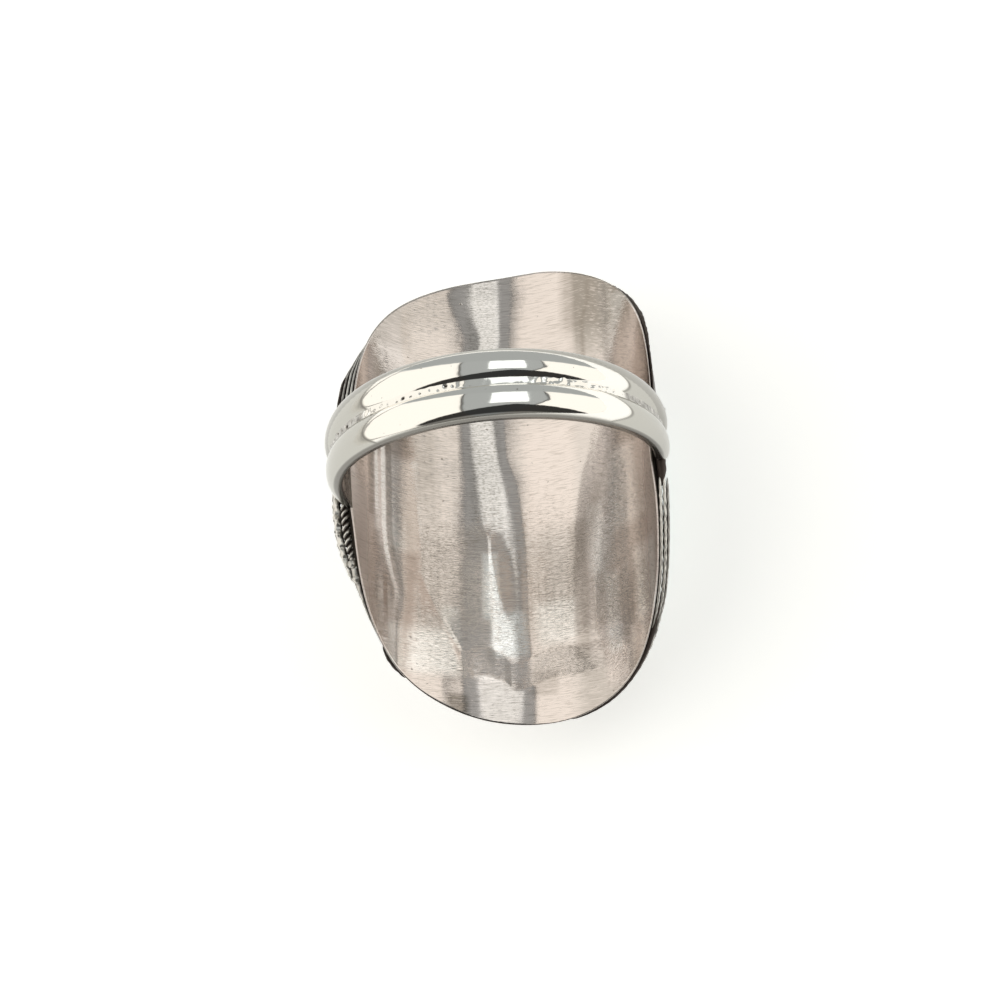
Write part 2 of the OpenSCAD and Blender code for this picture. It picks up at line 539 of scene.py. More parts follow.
def signed_volume(points: Array, faces: Sequence[Array]) -> float:
    """Volume inside closed faces: a sixth of the sum of triple products.

    Args:
        points: places, shape (points, 3).
        faces: groups of faces of one number of corners.

    Returns:
        The volume, negative where the faces point inwards.
    """
    total = 0.0
    for group in faces:
        for k in range(1, group.shape[1] - 1):
            a, b, c = points[group[:, 0]], points[group[:, k]], points[group[:, k + 1]]
            total += float(np.einsum("ij,ij->i", a, np.cross(b, c)).sum()) / 6
    return total


def put_in_scene(name: str, data: bpy.types.ID) -> bpy.types.Object:
    """Makes an object and links it to the scene.

    Args:
        name: the object's name.
        data: its mesh or camera.

    Returns:
        The object.
    """
    made = bpy.data.objects.new(name, data)
    bpy.context.scene.collection.objects.link(made)
    return made


@dataclass
class Piece:
    """One visible piece: its points in millimetres, its closed faces and what is laid on them."""

    name: str
    points: Array
    faces: list[Array]
    flat: Array | None = None
    patina_and_shade: Array | None = None

    def build(self, material: bpy.types.Material, slot: Slot) -> bpy.types.Object:
        """Makes the Blender object with its faces outward and lets it ride on the ring.

        Args:
            material: its finish.
            slot: the record's slot of that finish; not used.

        Returns:
            The object.
        """
        faces = self.faces
        if signed_volume(self.points, faces) < 0:
            faces = [group[:, ::-1] for group in faces]
        counts = np.concatenate([np.full(len(group), group.shape[1]) for group in faces])
        corners = np.concatenate([group.ravel() for group in faces]).astype(np.int32)
        mesh = bpy.data.meshes.new(self.name)
        mesh.vertices.add(len(self.points))
        mesh.vertices.foreach_set("co", (self.points * MM).astype(np.float32).ravel())
        mesh.loops.add(len(corners))
        mesh.loops.foreach_set("vertex_index", corners)
        mesh.polygons.add(len(counts))
        mesh.polygons.foreach_set("loop_start", np.concatenate([[0], np.cumsum(counts)[:-1]]).astype(np.int32))
        mesh.polygons.foreach_set("use_smooth", np.ones(len(counts), bool))
        mesh.update(calc_edges=True)
        if self.flat is not None:
            layer = mesh.uv_layers.new(name="flat")
            layer.data.foreach_set("uv", self.flat[corners].astype(np.float32).ravel())
        if self.patina_and_shade is not None:
            attribute = mesh.attributes.new("patina_and_shade", "FLOAT", "POINT")
            attribute.data.foreach_set("value", self.patina_and_shade.astype(np.float32))
        mesh.materials.append(material)
        made = put_in_scene(self.name, mesh)
        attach(made, "root")
        LOG.info("%s: %d faces, %.2f mm3", self.name, len(counts), abs(signed_volume(self.points, faces)))
        return made


def swept(name: str, sections: Array, patina_and_shade: Array) -> Piece:
    """A bar through a row of closed sections, with flat ends.

    Args:
        name: the piece's name.
        sections: points, shape (stations, points round the section, 3).
        patina_and_shade: how hidden each point is, shape (stations, points).

    Returns:
        The piece. Each end is a fan to the middle of its section.
    """
    points = np.concatenate([sections.reshape(-1, 3), sections[0].mean(0)[None], sections[-1].mean(0)[None]])
    patina_and_shade = np.concatenate([patina_and_shade.ravel(), [patina_and_shade[0].mean(), patina_and_shade[-1].mean()]])
    return Piece(name, points, capped(*sections.shape[:2]), patina_and_shade=patina_and_shade)


def waves(x: Array, y: Array, seed: int, length: float, count: int = 7) -> Array:
    """Smooth unevenness between about -1 and 1: a sum of sine waves of near lengths in seeded directions.

    Args:
        x: first coordinate of each point.
        y: second coordinate of each point.
        seed: picks directions, lengths and phases.
        length: the middle wave length.
        count: number of waves.

    Returns:
        The height at each point.
    """
    random = np.random.default_rng(seed)
    turn, phase = random.uniform(0, 2 * math.pi, (2, count))
    number = 2 * math.pi / (length * random.uniform(0.7, 1.6, count))
    way = np.cos(turn) * x[..., None] + np.sin(turn) * y[..., None]
    return np.sin(way * number + phase).sum(-1) / math.sqrt(count)


def unit(value: Array) -> Array:
    """The value kept between 0 and 1."""
    return np.clip(value, 0, 1)


def hill(x: Array, at: float, size: float) -> Array:
    """A round hill 1 high: exp of minus the squared distance from at over its size."""
    return np.exp(-(((x - at) / size) ** 2))


def bulge(x: Array, y: Array, at: tuple[float, float], size: tuple[float, float]) -> Array:
    """A round hill over two axes, each divided by its size."""
    return np.exp(-(((x - at[0]) / size[0]) ** 2) - ((y - at[1]) / size[1]) ** 2)


def fuller(value: Array, fullness: Array | float) -> Array:
    """A sine or cosine made fuller or leaner: its size to the power of 2 over the fullness, with its sign."""
    return np.sign(value) * np.abs(value) ** (2 / fullness)


# The ring


@dataclass(frozen=True)
class PlateOutline:
    """Outline of the back plate, laid flat: four corners of different fullness round a long oval."""

    radius: float = 9.5
    far: float = 15.5
    near: float = 15.55
    shift: float = 0.5
    left: float = 86.0
    right: float = 79.0
    middle: float = 3.0
    fullness: tuple[float, float, float, float] = (1.75, 2.2, 2.3, 2.0)

    @property
    def arc(self) -> float:
        """Arc length of one degree."""
        return math.radians(self.radius)

    def edge(self, t: Array) -> Array:
        """Place on the edge in direction t: a superellipse whose exponent changes from corner to corner.

        Args:
            t: directions, 0 to the right and 90 to the far end.

        Returns:
            Flat places, shape (..., 2).
        """
        c, s = np.cos(np.radians(t)), np.sin(np.radians(t))
        right, far = c >= 0, s >= 0
        e = np.select([right & far, ~right & far, ~right & ~far], self.fullness[:3], self.fullness[3])
        reach = np.where(right, self.right - self.middle, self.left + self.middle)
        across = self.arc * (self.middle + fuller(c, e) * reach)
        return np.stack([across, self.shift + fuller(s, e) * np.where(far, self.far, self.near)], -1)

    def inset(self, t: Array, depth: Array | float) -> Array:
        """The edge moved inward along its own normal, taken from the chord over six degrees.

        Args:
            t: directions.
            depth: millimetres inward.

        Returns:
            Flat places, shape (..., 2).
        """
        chord = self.edge(t + 3) - self.edge(t - 3)
        normal = np.stack([-chord[..., 1], chord[..., 0]], -1) / np.linalg.norm(chord, axis=-1)[..., None]
        return self.edge(t) + np.asarray(depth)[..., None] * normal

    def bent(self, flat: Array, radius: Array | float) -> Array:
        """Flat places bent round the finger: (r sin a, along, -r cos a), a the arc over the radius of the hole."""
        a = flat[..., 0] / self.radius
        return np.stack([radius * np.sin(a), flat[..., 1] + 0 * a, -radius * np.cos(a)], -1)


@dataclass
class BackPlate:
    """The oval sheet bent round the finger, sanded inside.

    A row of its tables of lines is a place along the finger, the turns of the lines there, and the angles that they
    mirror.
    """

    outline: PlateOutline
    thickness: float = 0.45
    bevel: float = 0.4
    rings: int = 120
    around: int = 640
    back_rings: int = 20
    # Rings down the filed edge: shares of the bevel inward and of the thickness outward
    edge_rows: Rows = ((0.0, 0.1), (0.1, 0.19), (0.45, 0.34), (1.0, 0.97), (1.12, 1.0))
    # How far the edge is filed thinner at the right, in which direction and over how many degrees
    filed: tuple[float, float, float] = (0.45, 20.0, 12.0)
    # The crease: its depth, its place along the finger and its width
    crease: tuple[float, float, float] = (0.37, -12.1, 1.95)
    # A true round mirrors zero - rate (turn + start) degrees about the finger
    mirror_zero: float = 15.8
    mirror_rate: float = 1.94
    mirror_start: float = 15.0
    # Degrees over which the first and the last line run out, and the ramp that takes up what is left
    run_in: float = 7.0
    run_out: float = 6.0
    ramp_before: float = 28.0
    ramp_length: float = 75.0
    middle_lines: Lines = (
        ((16.0, -25.2, -21.5, -19.5, -17.0, -14.5, -12.0, -6.3, -1.0), (53.8, 38.6, 31.9, 25.8, 20, 14.5, -5.5, -12)),
        ((14.6, -32.0, -23.0, -20.5, -18.0, -15.0, -12.0, -6.6, -1.0), (43.8, 32.5, 27.3, 21.5, 15.8, 9.9, -8.9, -12)),
        ((13.0, -29.8, -21.8, -19.4, -17.0, -14.5, -12.0, -7.2, -1.0), (47.5, 34.8, 29.3, 23.7, 17.8, 12.1, -7.5, -12)),
        ((11.5, -27.0, -20.0, -18.4, -16.4, -14.3, -12.3, -8.0, -1.0), (52.1, 41.5, 34.2, 28, 21.6, 15.6, -4.3, -12)),
        ((5.5, -28.3, -24.2, -22.0, -20.0, -18.0, -15.7, -10.8, -1.0), (40.8, 26.9, 21.7, 15.8, 10.2, 4, -14.9, -17)),
        ((3.0, -28.0, -23.3, -21.0, -18.7, -16.4, -14.2, -10.3, -1.0), (41.8, 28.9, 23.9, 18.3, 12.6, 6.4, -13.5, -17)),
        ((1.2, -27.7, -22.0, -19.6, -17.2, -14.8, -12.4, -6.7, -1.0), (47.7, 35.3, 29.6, 23.7, 17.9, 12.2, -7, -12)),
        ((-1.7, -29.4, -21.0, -17.6, -14.3, -11.0, -7.9, -4.3, 1.5), (51.8, 41.1, 29, 23, 17, 11, -8, -16)),
        ((-2.5, -29.8, -18.6, -18.0, -15.5, -12.2, -7.7, -4.0, 1.5), (51.8, 48.7, 9, 6, 16, 11, -8, -16)),
        ((-3.5, -30.0, -18.6, -18.0, -13.0, -9.6, -7.6, -3.9, 1.5), (50.8, 40.7, 9, 4, 15, 11, -8, -16)),
        ((-4.6, -30.3, -18.3, -17.0, -12.0, -8.8, -7.5, -3.8, 1.5), (51.3, 37.7, 10, 3, 14, 11, -8, -16)),
        ((-6.0, -30.0, -19.0, -15.2, -11.2, -8.7, -7.4, -3.7, 1.5), (52.7, 39.5, 10, 4, 14, 11, -8, -16)),
        ((-7.3, -29.5, -19.1, -12.6, -10.2, -8.7, -7.2, -3.5, 1.5), (54.2, 42.4, 12, 8, 14, 11, -8, -16)),
        ((-8.3, -29.2, -19.0, -16.0, -13.0, -9.9, -6.8, -3.3, 1.5), (54.0, 47, 30, 23, 17, 11, -8, -16)),
        ((-10.2, -29.6, -18.4, -15.5, -12.6, -9.7, -6.5, -2.8, 1.5), (53.0, 42, 30, 23, 17, 11, -8, -16)),
        ((-12.0, -32.0, -24.0, -20.6, -16.7, -12.0, -7.0, -2.0, 2.5), (60, 42.3, 35.7, 29.5, 23.3, 19.6, -2.5, -18)),
        ((-15.0, -32.0, -23.0, -20.0, -16.5, -12.5, -8.0, -2.4, 2.5), (60, 43.5, 36.3, 30, 23.3, 16.6, -3.5, -18)),
    )
    right_lines: Lines = (
        ((8.0, 28.0, 31.0, 36.0, 42.0), (-67.6, -73.4, -83.1, -94.8)),
        ((4.0, 26.7, 29.0, 33.5, 39.0), (-65.3, -66.8, -78.5, -87.9)),
        ((2.4, 24.6, 27.0, 33.0, 38.5), (-65.3, -66.2, -78.9, -88.2)),
        ((1.1, 20.6, 24.5, 32.8, 38.0), (-63.2, -66.5, -80, -90.1)),
        ((-0.7, 18.0, 23.6, 31.8, 37.5), (-61, -67.8, -81.3, -90.9)),
        ((-2.1, 16.6, 22.9, 30.4, 37.0), (-61.3, -68.7, -82, -92.2)),
        ((-3.5, 16.2, 22.4, 29.2, 37.0), (-60.7, -69, -81.3, -92.3)),
        ((-5.2, 15.5, 22.4, 27.2, 37.0), (-60.9, -69.9, -80.8, -92.9)),
        ((-6.5, 15.0, 23.5, 25.0, 37.0), (-61.3, -71, -81.6, -94.8)),
        ((-9.5, 14.0, 24.0, 25.0, 37.0), (-60, -70, -80, -91)),
        ((-12.0, 24.0, 28.0, 34.0, 39.0), (-58.5, -65.5, -77.4, -86)),
    )
    left_lines: Lines = (
        ((3.5, -69.8, -63.6), (117.2, 105.6)),
        ((0.0, -69.2, -62.3), (116.5, 104.1)),
        ((-2.0, -68.3, -62.3), (116.1, 104.7)),
        ((-3.5, -66.4, -61.4), (115.4, 104.6)),
        ((-4.5, -64.0, -60.0), (114.9, 104.8)),
        ((-5.5, -61.4, -58.4), (113.9, 104.5)),
        ((-6.5, -59.4, -57.0), (115.8, 105.3)),
        ((-9.0, -60.0, -57.0), (109.6, 96)),
    )

    def fluting(self, lines: Lines, turn: Array, along: Array) -> Array:
        """Height over a true round of the shallow flutes that the hammer left along the finger.

        On each line the sheet leans by half of what is missing to the line's angle, between the lines the lean changes
        in a straight way, and the height is the lean summed round the finger. What is left over is taken away over a
        long smooth ramp.

        Args:
            lines: rows of turns and mirrored angles by place along the finger.
            turn: degrees round the finger from the bottom.
            along: millimetres along the finger.

        Returns:
            Height in millimetres, outward.
        """
        rows = np.array([[*places, *angles] for places, angles in sorted(lines)], float)
        count = (rows.shape[1] - 1) // 2
        moves = (-0.35, -0.12, 0.12, 0.35)
        table = np.mean([[np.interp(along + move, rows[:, 0], row) for row in rows.T[1:]] for move in moves], 0)
        place, angle = table[:count], table[count:]
        missing = angle - self.mirror_zero + self.mirror_rate * (place + self.mirror_start)
        lean = np.concatenate([0 * place[:1], missing / 2, 0 * place[:1]])
        place = np.concatenate([place[:1] - self.run_in, place, place[-1:] + self.run_out])
        wide = np.diff(place, axis=0)

        def summed(at: Array) -> Array:
            """The lean's sum up to a turn.

            Args:
                at: degrees round the finger.

            Returns:
                The sum in degrees squared.
            """
            u = (at - place[:-1]) / wide
            part = np.where(u > 1, u - 0.5, unit(u) ** 2 / 2)
            return (np.diff(lean, axis=0) * wide * part).sum(0)

        ramp = unit((turn - (rows[0, 1] - self.ramp_before)) / self.ramp_length)
        height = summed(turn) - summed(turn * 0 + 90) * ramp**2 * (3 - 2 * ramp)
        return height * math.radians(1) * self.outline.arc

    def unevenness(self, flat: Array) -> Array:
        """Height of the hand-worked inside over a true round: a crease, flutes, bulges at both ends and slow waves.

        Args:
            flat: flat places, shape (..., 2).

        Returns:
            Height in millimetres, outward.
        """
        x, y = flat[..., 0], flat[..., 1]
        turn = x / self.outline.arc
        depth, place, width = self.crease
        slant = 0.13 * (turn + 16) + 0.07 * waves(x, 0 * y, 8, 0.9)
        wide = width + 5 * unit((-31 - turn) / 16)
        foot = unit((y - place + slant * hill(turn, -14, 9)) / wide)
        height = depth * np.exp(-(((turn + 12) / 40) ** 4)) * (foot - 1)
        for lines in (self.middle_lines, self.right_lines, self.left_lines):
            height = height + self.fluting(lines, turn, y)
        height = height + 0.4 * bulge(turn, y, (-90.0, -0.6), (6.0, 2.6))
        height = height - 0.36 * bulge(turn, y, (84.0, -0.6), (10.0, 2.6))
        return height + 0.003 * waves(x, y, 5, 7.0) + 0.0006 * waves(x, y, 6, 1.6)

    def piece(self) -> Piece:
        """Rings from the middle of the inside out to the edge, down the filed edge, and back over the outside.

        Returns:
            The piece, with a flat map and a darker back.
        """
        t = np.arange(self.around) * 360 / self.around
        edge = self.outline.edge(t)
        middle = np.array([self.outline.arc * self.outline.middle, self.outline.shift])
        inside = middle + np.linspace(0, 1, self.rings + 1)[1:, None, None] * (edge - middle)
        places, radii = [inside], [self.outline.radius + self.unevenness(inside)]
        edge_height = self.unevenness(edge)
        share, at, over = self.filed
        edge_thickness = self.thickness * (1 - share * hill(t, at, over))
        for depth, rise in self.edge_rows:
            places.append(self.outline.inset(t, self.bevel * depth)[None])
            radii.append((self.outline.radius + edge_height + edge_thickness * rise)[None])
        back = places[-1][0]
        shares = np.linspace(0.96, 0.08, self.back_rings)
        for k in shares:
            ring = middle + k * (back - middle)
            places.append(ring[None])
            radii.append((self.outline.radius + self.unevenness(ring) + self.thickness)[None])
        flat, radius = np.concatenate(places), np.concatenate(radii)
        rows = len(flat)
        flat = np.concatenate([flat.reshape(-1, 2), middle[None], middle[None]])
        height = float(self.unevenness(middle)) + self.outline.radius
        radius = np.concatenate([radius.ravel(), [height, height + self.thickness]])
        # The filed edge is painted nearly black as painted shade, and the front darkens towards the edge
        front = 0.35 + 0.65 * unit((shares - 0.8) / 0.12)
        shaded = [np.zeros(self.rings + 2), np.ones(len(self.edge_rows) - 2), front]
        patina_and_shade = np.repeat(np.concatenate(shaded), self.around)
        patina_and_shade = np.concatenate([patina_and_shade, [0.0, 0.35]])
        return Piece("back_plate", self.outline.bent(flat, radius), capped(rows, self.around), flat, patina_and_shade)

    def make(self, finish: BrushedSilver) -> bpy.types.Object:
        """Builds the plate, which stands for the soldered silver.

        Args:
            finish: the plate's finish.

        Returns:
            The object.
        """
        made = self.piece().build(finish.material(), Slot.SILVER)
        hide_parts("silver_setting")
        return made


@dataclass
class Band:
    """Two half-round wires side by side over the finger, soldered along their seam."""

    radius: float = 9.5
    left: float = -95.0
    right: float = 104.0
    width: float = 2.2
    narrowing: float = 0.4
    height: float = 0.95
    overlap: float = 0.01
    skew: float = 2.4
    shift: float = -0.07
    droop: float = 0.22
    stations: int = 480
    seam_stations: int = 1000
    seam_half: float = 0.4
    # Angles from the top, to the left and to the right, past which the wires get a painted reflection of a darker table
    painted_reflection_left: float = 33.5
    painted_reflection_right: float = 62.5
    # Each pit of the seam: its angle, its place aside of the seam's middle, its size and its depth
    pits: Rows = (
        (-24.0, -0.04, 0.05, 0.05), (-20.0, -0.10, 0.06, 0.06), (-17.5, -0.02, 0.09, 0.10), (-14.5, -0.05, 0.06, 0.07),
        (-11.0, -0.03, 0.05, 0.07), (-7.5, 0.02, 0.05, 0.05), (-4.5, -0.10, 0.05, 0.05), (-2.0, 0.08, 0.09, 0.10),
        (0.5, -0.02, 0.06, 0.06), (-46.2, -0.02, 0.09, 0.12), (-50.0, 0.02, 0.06, 0.09), (-53.4, 0.1, 0.07, 0.12),
        (-58.4, 0.24, 0.12, 0.18), (-63.0, 0.32, 0.1, 0.16), (-69.0, 0.12, 0.07, 0.1), (-76.0, 0.1, 0.07, 0.1),
        (52.0, 0.1, 0.05, 0.05), (71.0, 0.12, 0.05, 0.06),
    )

    @property
    def arc(self) -> float:
        """Length of one degree on the band's crest."""
        return math.radians(self.radius + self.height)

    def placed(self, phi: Array, along: Array, rise: Array) -> Array:
        """Points round the finger, the whole band turned askew about the upright and drooping at its left end.

        Args:
            phi: angle from the top, to the right.
            along: millimetres along the finger from the band's middle line.
            rise: height over the finger.

        Returns:
            Points, shape (..., 3).
        """
        a, r = np.radians(phi), self.radius + rise
        x, y, z = r * np.sin(a), along + self.shift, r * np.cos(a)
        y = y - self.droop * unit((-phi - 45) / 50) ** 2
        c, s = math.cos(math.radians(self.skew)), math.sin(math.radians(self.skew))
        return np.stack([c * x - s * y, s * x + c * y, z], -1)

    def wire(self, name: str, side: int, crest: float, fullness: float) -> Piece:
        """One wire: a half-round section carried round the finger, narrowing with the square of its angle.

        Args:
            name: the piece's name.
            side: 1 for the far wire and -1 for the near one.
            crest: where its highest line lies, as a share of its half width.
            fullness: exponent of its dome, 2 for a quarter ellipse on each side.

        Returns:
            The piece. The section is a fifth upright, then (1 - |s|^p)^(1/p) of the share s moved by the crest.
        """
        phi = np.linspace(self.left, self.right, self.stations)[:, None]
        share = np.cos(np.radians(np.linspace(0, 180, 41)))
        moved = np.abs(share - crest * (1 - share**2))
        dome = 0.2 + 0.8 * unit(1 - moved**fullness) ** (1 / fullness)
        share = np.concatenate([[0.0, 0.5, 0.97, 1.0, 1.0], share, [-1.0, -1.0, -0.97, -0.5]])[None, :]
        rise = np.concatenate([[0.0, 0.0, 0.0, 0.02, 0.1], dome, [0.1, 0.02, 0.0, 0.0]])[None, :]
        half = (self.width - self.narrowing * (phi / 90) ** 2) / 2
        work = 0.004 * waves(phi / 6, share, 11 + side, 8.0)
        along = side * (half - self.overlap) + share * half
        outer = unit((phi - self.right + 5) / 2) + unit((self.left + 5 - phi) / 2)
        rise = np.maximum(self.height * rise * (1 + work), 0.16 * outer)
        rise = rise + 0.45 * max(side, 0) * bulge(phi, share, (101.0, 0.95), (2.5, 0.25))
        # Past the end angles each wire is rougher, with a painted reflection of a darker table and a darker line at its
        # border
        right_end = phi - self.painted_reflection_right + 15 * (share + 0.3 + 0.15 * side) ** 2
        left_end = 9 * (share + 0.35 + 0.1 * side) ** 2 - self.painted_reflection_left - phi
        painted_reflection = sum(unit(past / 1.2) + 0.8 * hill(past, 0.9, 0.7) for past in (right_end, left_end))
        # A strip along the far wire's top, and a darker one on the near wire's low side: painted reflection and painted
        # shade
        if side > 0:
            painted_flank = 1.35 * unit((share - 0.72 + 0.00026 * (phi - 8) ** 2) / 0.06)
        else:
            painted_flank = 1.75 * unit((-share - 0.84) / 0.1) + 0 * phi
        return swept(name, self.placed(phi + 0 * share, along, rise), np.maximum(painted_reflection, painted_flank))

    def seam(self) -> Piece:
        """The solder in the groove: a shallow dip, lumpy towards its ends, with pits, most of them on the left.

        Returns:
            The piece.
        """
        phi = np.linspace(self.left, self.right, self.seam_stations)[:, None]
        across = np.linspace(-self.seam_half, self.seam_half, 25)[None, :]
        lumpy = 0.15 + unit(np.abs(phi - 15) / 30) + 1.6 * unit((phi - 24) / 8) * unit((66 - phi) / 8)
        rise = 0.68 + 0.34 * across**2 + 0.011 * lumpy * waves(phi / 6, across * 2, 3, 0.7)
        # The seam's ends are painted darker past nearly the same angles as the wires, a painted reflection; the pits
        # are darkened
        patina_and_shade = 0 * rise + 0.5 * (unit((-34 - phi) / 2) + unit((phi - 60) / 3))
        for angle, aside, size, depth in self.pits:
            dent = bulge(phi * self.arc, across, (angle * self.arc, aside), (1.3 * size, 1.2 * size))
            rise = rise - depth * dent
            patina_and_shade = np.maximum(patina_and_shade, dent * depth / 0.08)
        top = self.placed(phi + 0 * across, across + 0 * phi, rise)
        low = self.placed(phi + 0 * across, across[:, ::-1] + 0 * phi, 0.3 + 0 * rise)
        return swept("band_solder_seam", np.concatenate([top, low], 1), np.concatenate([patina_and_shade, 0 * patina_and_shade], 1))

    def make(self, finish: PolishedSilver, solder: DarkenedSilver) -> list[bpy.types.Object]:
        """Builds both wires and the seam.

        Args:
            finish: the wires' finish.
            solder: the seam's finish.

        Returns:
            The objects.
        """
        polished = finish.material()
        far, near = self.wire("band_wire_far", 1, -0.14, 2.05), self.wire("band_wire_near", -1, 0.0, 2.2)
        wires = [piece.build(polished, Slot.SILVER) for piece in (far, near)]
        return [*wires, self.seam().build(solder.material(), Slot.SILVER)]


@dataclass(frozen=True)
class Trim:
    """A wire or strip on part of the plate's edge. Each row: direction, depth, radius, half height and half width."""

    name: str
    dark: float
    rows: Rows
    rough: float = 0.05


@dataclass
class Border:
    """The twisted wire and the small trims on the plate's front, near its edge."""

    plate: BackPlate
    foot: float = 9.93
    strand: float = 0.13
    twist: float = 0.5
    left_strand: float = 0.16
    left_twist: float = 0.95
    # A strand's distance from its line, as a share of its radius, its points round and its stations a turn
    lay: float = 0.75
    strand_around: int = 10
    per_turn: int = 12
    trim_around: int = 16
    trim_stations: int = 120
    trims: tuple[Trim, ...] = (
        Trim("right_wire_inner", 0.0, (
            (-47, 0.2, 9.72, 0.04, 0.1), (-40, 0.18, 9.76, 0.1, 0.14), (-10.5, 0.18, 9.77, 0.1, 0.14),
        ), 0.12),
        Trim("right_wire_outer", 0.0, (
            (-46, 0.3, 9.95, 0.04, 0.1), (-39, 0.26, 10.02, 0.1, 0.14), (-10.5, 0.26, 10.03, 0.11, 0.14),
        ), 0.16),
        Trim("right_seam", 1.0, (
            (-84, 0.15, 9.62, 0.03, 0.08), (-70, 0.2, 9.78, 0.13, 0.14), (-52, 0.22, 9.84, 0.17, 0.14),
            (-41, 0.22, 9.82, 0.12, 0.12), (-34, 0.3, 9.75, 0.04, 0.1),
        )),
        Trim("right_band", 0.42, (
            (-80, 0.35, 9.74, 0.04, 0.1), (-65, 0.4, 9.93, 0.14, 0.22), (-45, 0.45, 10.06, 0.17, 0.28),
            (-38, 0.45, 10.2, 0.1, 0.28), (-10.5, 0.45, 10.24, 0.09, 0.28),
        ), 0.1),
        Trim("right_shadow", 1.0, (
            (-12.5, 0.4, 9.85, 0.15, 0.3), (-9, 0.4, 9.9, 0.3, 0.35), (-3, 0.4, 9.9, 0.3, 0.35),
        )),
        # The rim's darkness is painted shade
        Trim("right_rim", 0.8, (
            (12, 0.2, 9.68, 0.05, 0.12), (28, 0.2, 9.72, 0.08, 0.14), (40, 0.2, 9.84, 0.18, 0.16),
            (54, 0.2, 9.88, 0.2, 0.16), (66, 0.2, 9.8, 0.12, 0.12), (76, 0.2, 9.64, 0.04, 0.1),
        ), 0.14),
        Trim("left_wire_inner", 0.3, (
            (146, 0.16, 9.64, 0.03, 0.08), (158, 0.2, 9.82, 0.1, 0.12), (184, 0.22, 9.88, 0.09, 0.12),
        )),
        Trim("left_wire_middle", 0.3, (
            (145, 0.2, 9.68, 0.03, 0.08), (156, 0.3, 10.14, 0.1, 0.12), (184, 0.3, 10.22, 0.1, 0.12),
        )),
        Trim("left_wire_outer", 0.5, (
            (146, 0.24, 9.74, 0.03, 0.08), (157, 0.36, 10.44, 0.1, 0.14), (184, 0.38, 10.6, 0.12, 0.16),
        )),
        Trim("left_wire_edge", 0.7, (
            (148, 0.3, 9.84, 0.03, 0.08), (159, 0.42, 10.74, 0.1, 0.14), (176, 0.44, 10.86, 0.08, 0.14),
        )),
        Trim("left_backing", 1.0, (
            (146, 0.5, 9.8, 0.1, 0.15), (158, 0.75, 10.1, 0.35, 0.3), (170, 0.85, 10.28, 0.45, 0.35),
            (195, 0.95, 10.26, 0.42, 0.35), (207, 0.8, 10.05, 0.2, 0.25),
        )),
        Trim("left_wall", 0.35, (
            (198, 0.5, 10.2, 0.12, 0.2), (203, 0.4, 10.06, 0.26, 0.2), (210, 0.3, 9.86, 0.14, 0.15),
            (220, 0.2, 9.66, 0.03, 0.08),
        )),
        Trim("left_strip", 0.15, (
            (182, 0.45, 10.78, 0.2, 0.2), (187, 0.5, 10.84, 0.25, 0.3), (194, 0.5, 10.8, 0.25, 0.3),
            (199, 0.42, 10.6, 0.2, 0.25), (205, 0.35, 10.3, 0.1, 0.15),
        ), 0.22),
        Trim("low_bump", 0.8, (
            (222.5, 0.12, 9.64, 0.03, 0.08), (226, 0.12, 9.78, 0.14, 0.12), (229, 0.12, 9.76, 0.12, 0.12),
            (233, 0.12, 9.62, 0.03, 0.08),
        ), 0.12),
    )
    # Each drop: its direction, how far in it lies, its place over the finger and its radius
    drops: Rows = (
        (200.8, 0.35, 10.12, 0.3), (204.6, 0.32, 9.98, 0.3), (180.6, 0.4, 10.6, 0.26), (182.6, 0.3, 10.8, 0.2),
        (179.4, 0.3, 10.45, 0.22),
    )

    def path(self, t: Array, depth: Array, radius: Array | float) -> Line:
        """A line on the plate's front with its two cross directions.

        Args:
            t: directions from the plate's middle.
            depth: millimetres in from the edge.
            radius: millimetres from the finger's axis.

        Returns:
            The points, the outward directions and the sideways directions.
        """
        flat = self.plate.outline.inset(t, depth)
        points = self.plate.outline.bent(flat, radius)
        a = flat[..., 0] / self.plate.outline.radius
        out = np.stack([np.sin(a), 0 * a, -np.cos(a)], -1)
        ahead = np.gradient(points, axis=0)
        side = np.cross(ahead, out)
        return points, out, side / np.linalg.norm(side, axis=-1)[:, None]

    def carried(self, line: Line, rise: Array, across: Array) -> Array:
        """Sections along a line: its points plus rise of its outward and across of its sideways directions."""
        points, out, side = line
        return points[:, None] + rise[..., None] * out[:, None] + across[..., None] * side[:, None]

    def twisted(self, name: str, span: tuple[float, float], where: Callable[[Array], tuple[Array, Array]],
                strand: float, twist: float) -> list[Piece]:
        """Two round strands wound about a line that follows the plate.

        Args:
            name: the pieces' name, before their number.
            span: first and last direction.
            where: by direction, the line's millimetres in from the edge, and from the finger's axis over a true round.
            strand: radius of a strand.
            twist: length of one turn.

        Returns:
            The two strands.
        """

        def line(t: Array) -> Line:
            """The wire's line in directions t."""
            depth, radius = where(t)
            return self.path(t, depth, radius + self.plate.unevenness(self.plate.outline.inset(t, depth)))

        coarse = np.linspace(*span, 721)
        length = np.concatenate([[0], np.cumsum(np.linalg.norm(np.diff(line(coarse)[0], axis=0), axis=1))])
        stations = round(length[-1] / twist) * self.per_turn
        fine = line(np.interp(np.arange(stations) / stations * length[-1], length, coarse))
        made = []
        for k in range(2):
            turn = np.arange(stations)[:, None] * 2 * math.pi / self.per_turn + k * math.pi
            around = np.radians(np.arange(self.strand_around) * 360 / self.strand_around)[None, :]
            rise = self.lay * strand * np.cos(turn) + strand * np.cos(around)
            across = self.lay * strand * np.sin(turn) + strand * np.sin(around)
            patina_and_shade = unit(1.15 - np.hypot(rise, across) / ((1 + self.lay) * strand)) * 1.6
            made.append(swept(f"{name}_{k + 1}", self.carried(fine, rise, across), patina_and_shade))
        return made

